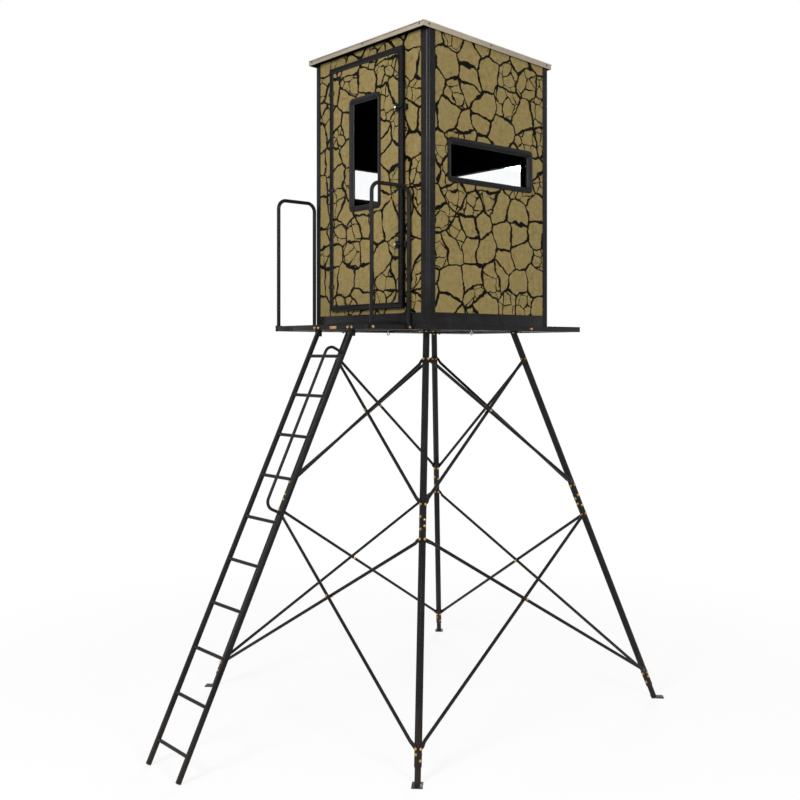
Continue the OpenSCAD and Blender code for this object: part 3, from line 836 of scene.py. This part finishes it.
# %% Weld beads
def weld(shape, matrix, radius, size=0.0030, stations=40, corners=8):
    path = []
    for i in range(stations):
        a = math.tau * i / stations
        out = Vector((math.cos(a), math.sin(a), 0))
        ripple = 1 + 0.16 * math.cos(a * 20)
        path.append((out * radius, out * ripple, Vector((0, 0, ripple))))
    angles = [math.tau * j / corners for j in range(corners)]
    outline = [(size * math.cos(a), size * math.sin(a)) for a in angles]
    shape.sweep(outline, path, closed=True, matrix=matrix)


welds = Shape()
inside = (rungs_high.x - rungs_low.x) / 2
rung_count = 10
rung_first = 0.180
rung_pitch = 0.326
for i in range(rung_count):
    for side in (-1, 1):
        place = moved(side * inside, (rung_tube - stile) / 2, rung_first + i * rung_pitch)
        weld(welds, ladder @ place @ out_x, rung_tube / 2)
for along in (1.880, 3.140):
    weld(welds, ladder @ moved(stile_x, -stile / 2, along) @ turned(90, "X"), 0.011)
for side in (-1, 1):
    place = moved(-half_w + beam / 2, rail_y + side * rail_half, deck_top + 0.004)
    weld(welds, place, 0.015)
welds.done("weld_beads", steel, angle=80)

caps = Shape()
for i in range(rung_count):
    for side in (-1, 1):
        place = moved(side * (inside + stile), (rung_tube - stile) / 2, rung_first + i * rung_pitch)
        dome = [(0.0105, 0), (0.0100, 0.0014), (0.0060, 0.0024), (0.0015, 0.0027)]
        caps.lathe(dome, ladder @ place @ turned(90 * side, "Y"))
caps.done("rung_end_caps", steel)
print("rungs welded and capped:", rung_count)

# %% [markdown]
# ## Expanded-metal deck
# The landings are covered with expanded metal: a sheet that is slit and pulled until the slits
# open into diamonds. Each strand zigzags, and neighbouring strands touch at the turns. The
# frame's flat plates are replaced by such strands and a flat edge bar.

# %% Deck mesh
def expanded_metal(shape, x0, x1, y0, y1, top, thick=0.004, pitch=0.050, row=0.0125, width=0.0036):
    count = round((y1 - y0) / row)
    row = (y1 - y0) / count
    steps = round((x1 - x0) / (pitch / 2))
    step = (x1 - x0) / steps
    outline = [(-width / 2, -thick), (width / 2, -thick), (width / 2, 0), (-width / 2, 0)]
    for i in range(count + 1):
        path = []
        for j in range(steps + 1):
            y = y0 + i * row + (row / 2 - width / 4) * (1 if (i + j) % 2 else -1)
            y = min(max(y, y0 + width / 2), y1 - width / 2)
            path.append((Vector((x0 + j * step, y, top)), Vector((0, 1, 0)), Vector((0, 0, 1))))
        shape.sweep(outline, path)


deck = Shape()
edge = Shape()
landing_edge = head + beam / 2
for x1, y0, y1 in ((landing_edge, -platform_half, -half_d), (half_w, half_d, platform_half)):
    expanded_metal(deck, -half_w + 0.012, x1 - 0.012, y0 + 0.012, y1 - 0.003, deck_top)
    bars = ((-half_w, y0, x1, y0 + 0.016), (-half_w, y1 - 0.006, x1, y1),
            (-half_w, y0, -half_w + 0.016, y1), (x1 - 0.016, y0, x1, y1))
    for ax, ay, bx, by in bars:
        edge.box((ax, ay, beam_top), (bx, by, deck_top))
deck_mesh = deck.done("deck_mesh", steel)
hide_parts("deck_plates")
edge.done("deck_edge_bars", steel, bevel=0.0008)
print("deck mesh faces:", len(deck_mesh.data.polygons))

# %% [markdown]
# ## Corner posts and base trim
# The posts are extruded covers with a wide rounded nose, two shallow grooves and flanges that lap
# over the walls. The nose is what catches a long upright highlight. They run up to the sloping
# roof, so each top vertex takes its height from the roof above it.

# %% Corner posts
post_flange = 0.076


def post_outline(size=post_flange, nose=0.034, groove=0.0018):
    outline = [(0, -size), (0, -size + 0.012), (-groove, -size + 0.0128), (-groove, -size + 0.0152),
               (0, -size + 0.016), (0, -nose - 0.010), (-groove, -nose - 0.0092),
               (-groove, -nose - 0.0068), (0, -nose - 0.006)]
    half = outline[:]
    angles = [math.pi / 2 * i / 12 for i in range(13)]
    outline += [(nose * (math.cos(a) - 1), nose * (math.sin(a) - 1)) for a in angles]
    outline += [(y, x) for x, y in reversed(half)]
    return outline + [(-size, -size)]


posts = Shape()
outline = post_outline()
for sx in (-1, 1):
    for sy in (-1, 1):
        ring = [(sx * (half_w + u), sy * (half_d + v)) for u, v in outline]
        vertices = [(x, y, beam_top) for x, y in ring] + [(x, y, under_roof(y)) for x, y in ring]
        posts.add(vertices, tube_faces(2, len(ring)))
made = posts.done("corner_post_covers", steel, angle=28)
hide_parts("corner_posts")
print("posts: 4")

# %% [markdown]
# The base trim has three pressed ribs near its upper edge.

# %% Ribs of the base trim
trim_low, trim_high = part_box("base_trim")
ribs = Shape()
rib = 0.0022
span_x = half_w - post_flange
span_y = half_d - post_flange
for drop in (0.006, 0.016, 0.030):
    z = trim_high.z - drop
    for side in (-1, 1):
        a, b = sorted((side * (half_w - 0.001), side * (half_w + rib)))
        ribs.box((a, -span_y, z - rib), (b, span_y, z + rib))
        a, b = sorted((side * (half_d - 0.001), side * (half_d + rib)))
        ribs.box((-span_x, a, z - rib), (span_x, b, z + rib))
ribs.done("base_trim_ribs", steel, bevel=0.0009)
print("ribs: 12")

# %% [markdown]
# ## Wall panels
# Each wall is a foam core between two skins. The outer skin carries the print, while the inner
# one and the cut edges are black, deepened as painted shade of the closed cabin. The copy keeps
# the frame's shape and chooses its material by which way a face looks. The roof panel is made the
# same way, with a black ceiling that carries the same painted shade.

# %% Skin the walls, the door and the roof
def skin(node, direction, outer):
    bm = cad_shape(node)
    # Faces that look inwards, the cut edges and the roof's underside take the lining, whose near-black is painted
    # shade.
    for part in bm.faces:
        faces_out = part.normal.dot(Vector(direction)) > 0.6
        part.material_index = 0 if faces_out else 1
    body = "door" if node.startswith("door") else "tower"
    made = piece(node + "_skin", mesh_from(bm, node + "_skin"), body, [outer, lining_with_painted_shade])
    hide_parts(node)


outward = {"left_wall": (-1, 0, 0), "right_wall": (1, 0, 0), "rear_wall": (0, 1, 0),
           "front_wall_sides": (0, -1, 0), "front_wall_header": (0, -1, 0),
           "front_wall_sill": (0, -1, 0), "door_panel": (0, -1, 0)}
for node, direction in outward.items():
    skin(node, direction, camouflage)
skin("roof_panel", (0, 0, 1), roof_paint)
print("skins:", len(outward) + 1)

# %% [markdown]
# ## Roof edge
# Folded tan strips close the edge of the roof panel. A cream drip edge laps over their top, so
# that rain falls clear of the strips, and three dark screws hold each strip. The cabin's screws
# all go into one shape, which is finished last.

# %% Fascia, drip edge and screws
for node in ("side_fascia", "end_fascia"):
    rounded_copy(node, 0.0012, roof_paint)
roof_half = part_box("side_fascia")[1].x
front_run = -0.055
rear_run = (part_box("side_fascia")[1].y + half_d) / math.cos(roof_slope)
drip = Shape()
top = 0.0400
profile = [(0, top), (0, top - 0.006), (0.0022, top - 0.007), (0.0040, top - 0.0055),
           (0.0030, top - 0.0015), (0.0018, top), (-0.010, top + 0.0006), (-0.010, top - 0.0006)]
stations = [(-1, front_run), (1, front_run), (1, rear_run), (-1, rear_run)]
path = []
for sx, run in stations:
    out = Vector((sx, -1 if run < 0 else 1, 0))
    path.append((Vector((sx * roof_half, run, 0)), out, Vector((0, 0, 1))))
drip.sweep(profile, path, closed=True, matrix=roof)
drip.done("drip_edge", cream)
lip = Shape()
lip.box((-roof_half, front_run - 0.0105, 0.0335), (roof_half, front_run + 0.001, 0.0355), roof)
lip.box((-roof_half, front_run - 0.0105, 0.0285), (roof_half, front_run - 0.0090, 0.0355), roof)
lip.done("front_drip_lip", cream, bevel=0.0005)


def screw(shape, matrix, radius=0.0048):
    dome = [(radius, 0), (radius, 0.0006), (radius * 0.86, 0.0017), (radius * 0.5, 0.0025),
            (0.0022, 0.0027), (0.0018, 0.0016)]
    shape.lathe(dome, matrix, sides=16)


fascia_middle = 0.018
roof_screw = 0.0080
screws = Shape()
for side in (-1, 1):
    for share in (0.04, 0.5, 0.96):
        run = front_run + share * (rear_run - front_run)
        place = roof @ moved(side * roof_half, run, fascia_middle)
        screw(screws, place @ turned(90 * side, "Y"), roof_screw)
    for share in (-0.94, 0, 0.94):
        run = front_run if side < 0 else rear_run
        place = roof @ moved(share * roof_half, run, fascia_middle)
        screw(screws, place @ turned(-90 * side, "X"), roof_screw)
print("roof edge done")

# %% [markdown]
# ## Windows
# A window is a moulded frame pushed through the wall: a broad flange with soft corners, a step
# down towards the glass, and a reveal through the wall. A rubber bead holds the pane. The
# frame's profile is carried round a rounded rectangle whose corner radius shrinks inwards.

# %% Profiles of the window frame and its bead
def ring(shape, width, height, profile, matrix, steps=7):
    """Carry (inset, out, radius) points round a rectangle with rounded corners."""
    stations = []
    for sx, sy, start in ((1, 1, 0), (-1, 1, 90), (-1, -1, 180), (1, -1, 270)):
        for i in range(steps):
            angle = math.radians(start + 90 * i / (steps - 1))
            stations.append((sx, sy, math.cos(angle), math.sin(angle)))
    vertices = []
    for sx, sy, c, s in stations:
        for inset, out, radius in profile:
            a, b = width / 2 - inset - radius, height / 2 - inset - radius
            vertices.append((sx * a + radius * c, sy * b + radius * s, out))
    n, m = len(profile), len(stations)
    faces = []
    for i in range(m):
        for j in range(n):
            k, l = (i + 1) % m, (j + 1) % n
            faces.append([i * n + j, k * n + j, k * n + l, i * n + l])
    shape.add(vertices, faces, matrix)


def frame_profile(depth):
    points = [(0, 0, 40), (0, 3.2, 40), (1.0, 5.6, 39.5), (3.5, 6.6, 38), (16, 6.6, 30), (18, 7.2, 29),
              (20, 9.4, 28), (22.5, 10.0, 27), (25, 9.4, 26), (27, 7.0, 24), (30, 2.6, 22),
              (33, 0.8, 20), (39.5, -1.0, 14), (42, -5.0, 12),
              (42, -depth / MM, 12), (24.3, -depth / MM, 15.7), (24.3, 0, 15.7)]
    return [(a * MM, b * MM, r * MM) for a, b, r in points]


def bead_profile(depth):
    level = -depth / 2 / MM
    points = [(42, level + 4, 12), (42, level + 9, 12), (44.5, level + 8, 11), (47, level + 4.1, 10)]
    back = [(42, level, 12), (42, level - 5, 12), (44.5, level - 4, 11), (47, level - 0.1, 10)]
    return [[(a * MM, b * MM, r * MM) for a, b, r in part] for part in (points, back)]


print("window profiles ready")

# %% [markdown]
# Three windows are wide and low, and the door's is tall. Screws run round each flange.

# %% Window frames
screw_inset = 0.0105
screw_pitch = 0.19
flange_out = 0.0065
small_screw = 0.0036
wall_size = (0.945, 0.342)
door_size = (0.396, 0.909)
wall_depth = 0.038
door_depth = leaf_high.y - panel_face


def window(shape, seal, fasteners, size, depth, matrix):
    ring(shape, *size, frame_profile(depth), matrix)
    for part in bead_profile(depth):
        ring(seal, *size, part, matrix)
    for across, along, swap in ((size[0], size[1], False), (size[1], size[0], True)):
        count = max(2, round(across / screw_pitch))
        for i in range(count):
            a = (i + 0.5) / count * across - across / 2
            for side in (-1, 1):
                b = side * (along / 2 - screw_inset)
                x, y = (b, a) if swap else (a, b)
                screw(fasteners, matrix @ moved(x, y, flange_out), small_screw)


frames = Shape()
seals = Shape()
for k in range(3):
    window(frames, seals, screws, wall_size, wall_depth, on_wall(k))
made = frames.done("wall_window_mouldings", frame_plastic, angle=40)
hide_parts("wall_window_frames")
seals.done("wall_window_beads", rubber)

door_frames = Shape()
door_seals = Shape()
door_screws = Shape()
window(door_frames, door_seals, door_screws, door_size, door_depth, door_window)
made = door_frames.done("door_window_moulding", frame_plastic, "door", angle=40)
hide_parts("door_window_frame")
door_seals.done("door_window_bead", rubber, "door")
print("windows: 4")

# %% [markdown]
# ## Door
# The leaf is edged with a folded dark frame. A half-round bead runs along its outer rim and a
# flat strip clamps the printed panel inside it. A soft seal behind the rim closes the gap to the
# wall.

# %% Door frame and seal
rounded_copy("door_frame", 0.0030, door_black, body="door")
leaf_w = leaf_high.x - leaf_low.x
leaf_h = leaf_high.z - leaf_low.z
border = 0.046


def square_ring(shape, width, height, profile, matrix):
    path = [(Vector((sx * width / 2, sy * height / 2, 0)), Vector((sx, sy, 0)), Vector((0, 0, 1)))
            for sx, sy in ((1, 1), (-1, 1), (-1, -1), (1, -1))]
    shape.sweep(profile, path, closed=True, matrix=matrix)


rim = Shape()
half_round = [(-0.0095 + 0.0085 * math.cos(a), 0.0055 * math.sin(a) + 0.0005)
              for a in [math.pi * i / 10 for i in range(11)]]
square_ring(rim, leaf_w, leaf_h, half_round, leaf)
strip = [(0, -0.004), (0, 0.0018), (0.0012, 0.0030), (0.0088, 0.0030), (0.0100, 0.0018),
         (0.0100, -0.004)]
square_ring(rim, leaf_w - 2 * border, leaf_h - 2 * border, strip, leaf)
rim.done("door_rim_beads", door_black, "door", angle=50)

seal = Shape()
tube = [(-0.020 + 0.0035 * math.cos(a), -0.0318 + 0.0034 * math.sin(a))
        for a in [math.tau * i / 12 for i in range(12)]]
square_ring(seal, leaf_w, leaf_h, tube, leaf)
seal.done("door_seal", rubber, "door", angle=80)
print("door frame done")

# %% [markdown]
# Two latches hold the free edge. Each has a body, a bright knob, and an arm that reaches past
# the rim.

# %% Latches
latch_x = 0.398
body = Shape()
knob = Shape()
arm = Shape()
for z in (3.655, 4.696):
    place = leaf @ moved(latch_x, z - (leaf_low.z + leaf_high.z) / 2, 0)
    body.box((-0.017, -0.029, 0), (0.017, 0.029, 0.009), place)
    knob.lathe([(0.0060, 0.008), (0.0060, 0.016), (0.0080, 0.018), (0.0088, 0.022), (0.0088, 0.026),
                (0.0070, 0.0295), (0.0030, 0.0300)], place, sides=28)
    arm.box((-0.004, -0.006, 0.0092), (0.070, 0.006, 0.0142), place)
    arm.lathe([(0.012, 0.0090), (0.012, 0.0125), (0.010, 0.0148)], place)
    arm.box((0.060, -0.010, -0.0060), (0.0705, 0.010, 0.0142), place)
made = body.done("latch_bodies", frame_plastic, "door", bevel=0.0030)
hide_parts("door_latches")
knob.done("latch_knobs", chrome, "door", angle=60)
arm.done("latch_arms", frame_plastic, "door", bevel=0.0012)
print("latches: 2")

# %% [markdown]
# Each hinge has two screws in the leaf and two beside it. Smaller ones run up the door's frame.

# %% Hinge and frame screws
hinge_x = frame["joints"][0]["pos_m"][0]
hinge_leaf_thick = 0.0025
frame_screws = 9
for z in (3.370, 4.170, 4.960):
    for x in (0.020, 0.052):
        place = moved(hinge_x + x, leaf_low.y - hinge_leaf_thick, z) @ turned(90, "X")
        screw(door_screws, place, 0.0040)
    for dz in (-0.032, 0.032):
        place = moved(hinge_x - 0.026, -wall_y - hinge_leaf_thick, z + dz) @ turned(90, "X")
        screw(screws, place, 0.0040)
for i in range(frame_screws):
    y = (i + 0.5) / frame_screws * leaf_h - leaf_h / 2
    for side in (-1, 1):
        screw(door_screws, leaf @ moved(side * (leaf_w / 2 - 0.026), y, 0), small_screw)
door_screws.done("door_screws", screw_black, "door")
print("door finished")

# %% [markdown]
# ## Screws in the cover strips
# A row of small screws runs up each flange of the corner posts and along the base trim.

# %% Post and trim screws
for sx in (-1, 1):
    for sy in (-1, 1):
        for i in range(7):
            z = deck_top + 0.14 + i * 0.325
            place = moved(sx * half_w, sy * (half_d - 0.070), z) @ turned(90 * sx, "Y")
            screw(screws, place, 0.0038)
            place = moved(sx * (half_w - 0.070), sy * half_d, z) @ turned(-90 * sy, "X")
            screw(screws, place, 0.0038)
for i in range(4):
    share = (i + 0.5) / 4 * 2 - 1
    for side in (-1, 1):
        place = moved(side * half_w, share * span_y, trim_low.z + 0.028) @ turned(90 * side, "Y")
        screw(screws, place, 0.0042)
        place = moved(share * span_x, side * half_d, trim_low.z + 0.028) @ turned(-90 * side, "X")
        screw(screws, place, 0.0042)
screws.done("cabin_screws", screw_black)
print("screws placed")

# %% [markdown]
# ## Remaining nodes
# The floor, the panes and the eye bolts keep their shape.

# %% Give the remaining nodes their finishes
finish_of = {"cabin_floor": floor_board, "wall_window_glass": glass, "door_glass": glass,
             "eye_bolts": grey_zinc}
for name, material in finish_of.items():
    bpy.data.objects[name].data.materials[0] = material
print("finishes given:", len(finish_of))
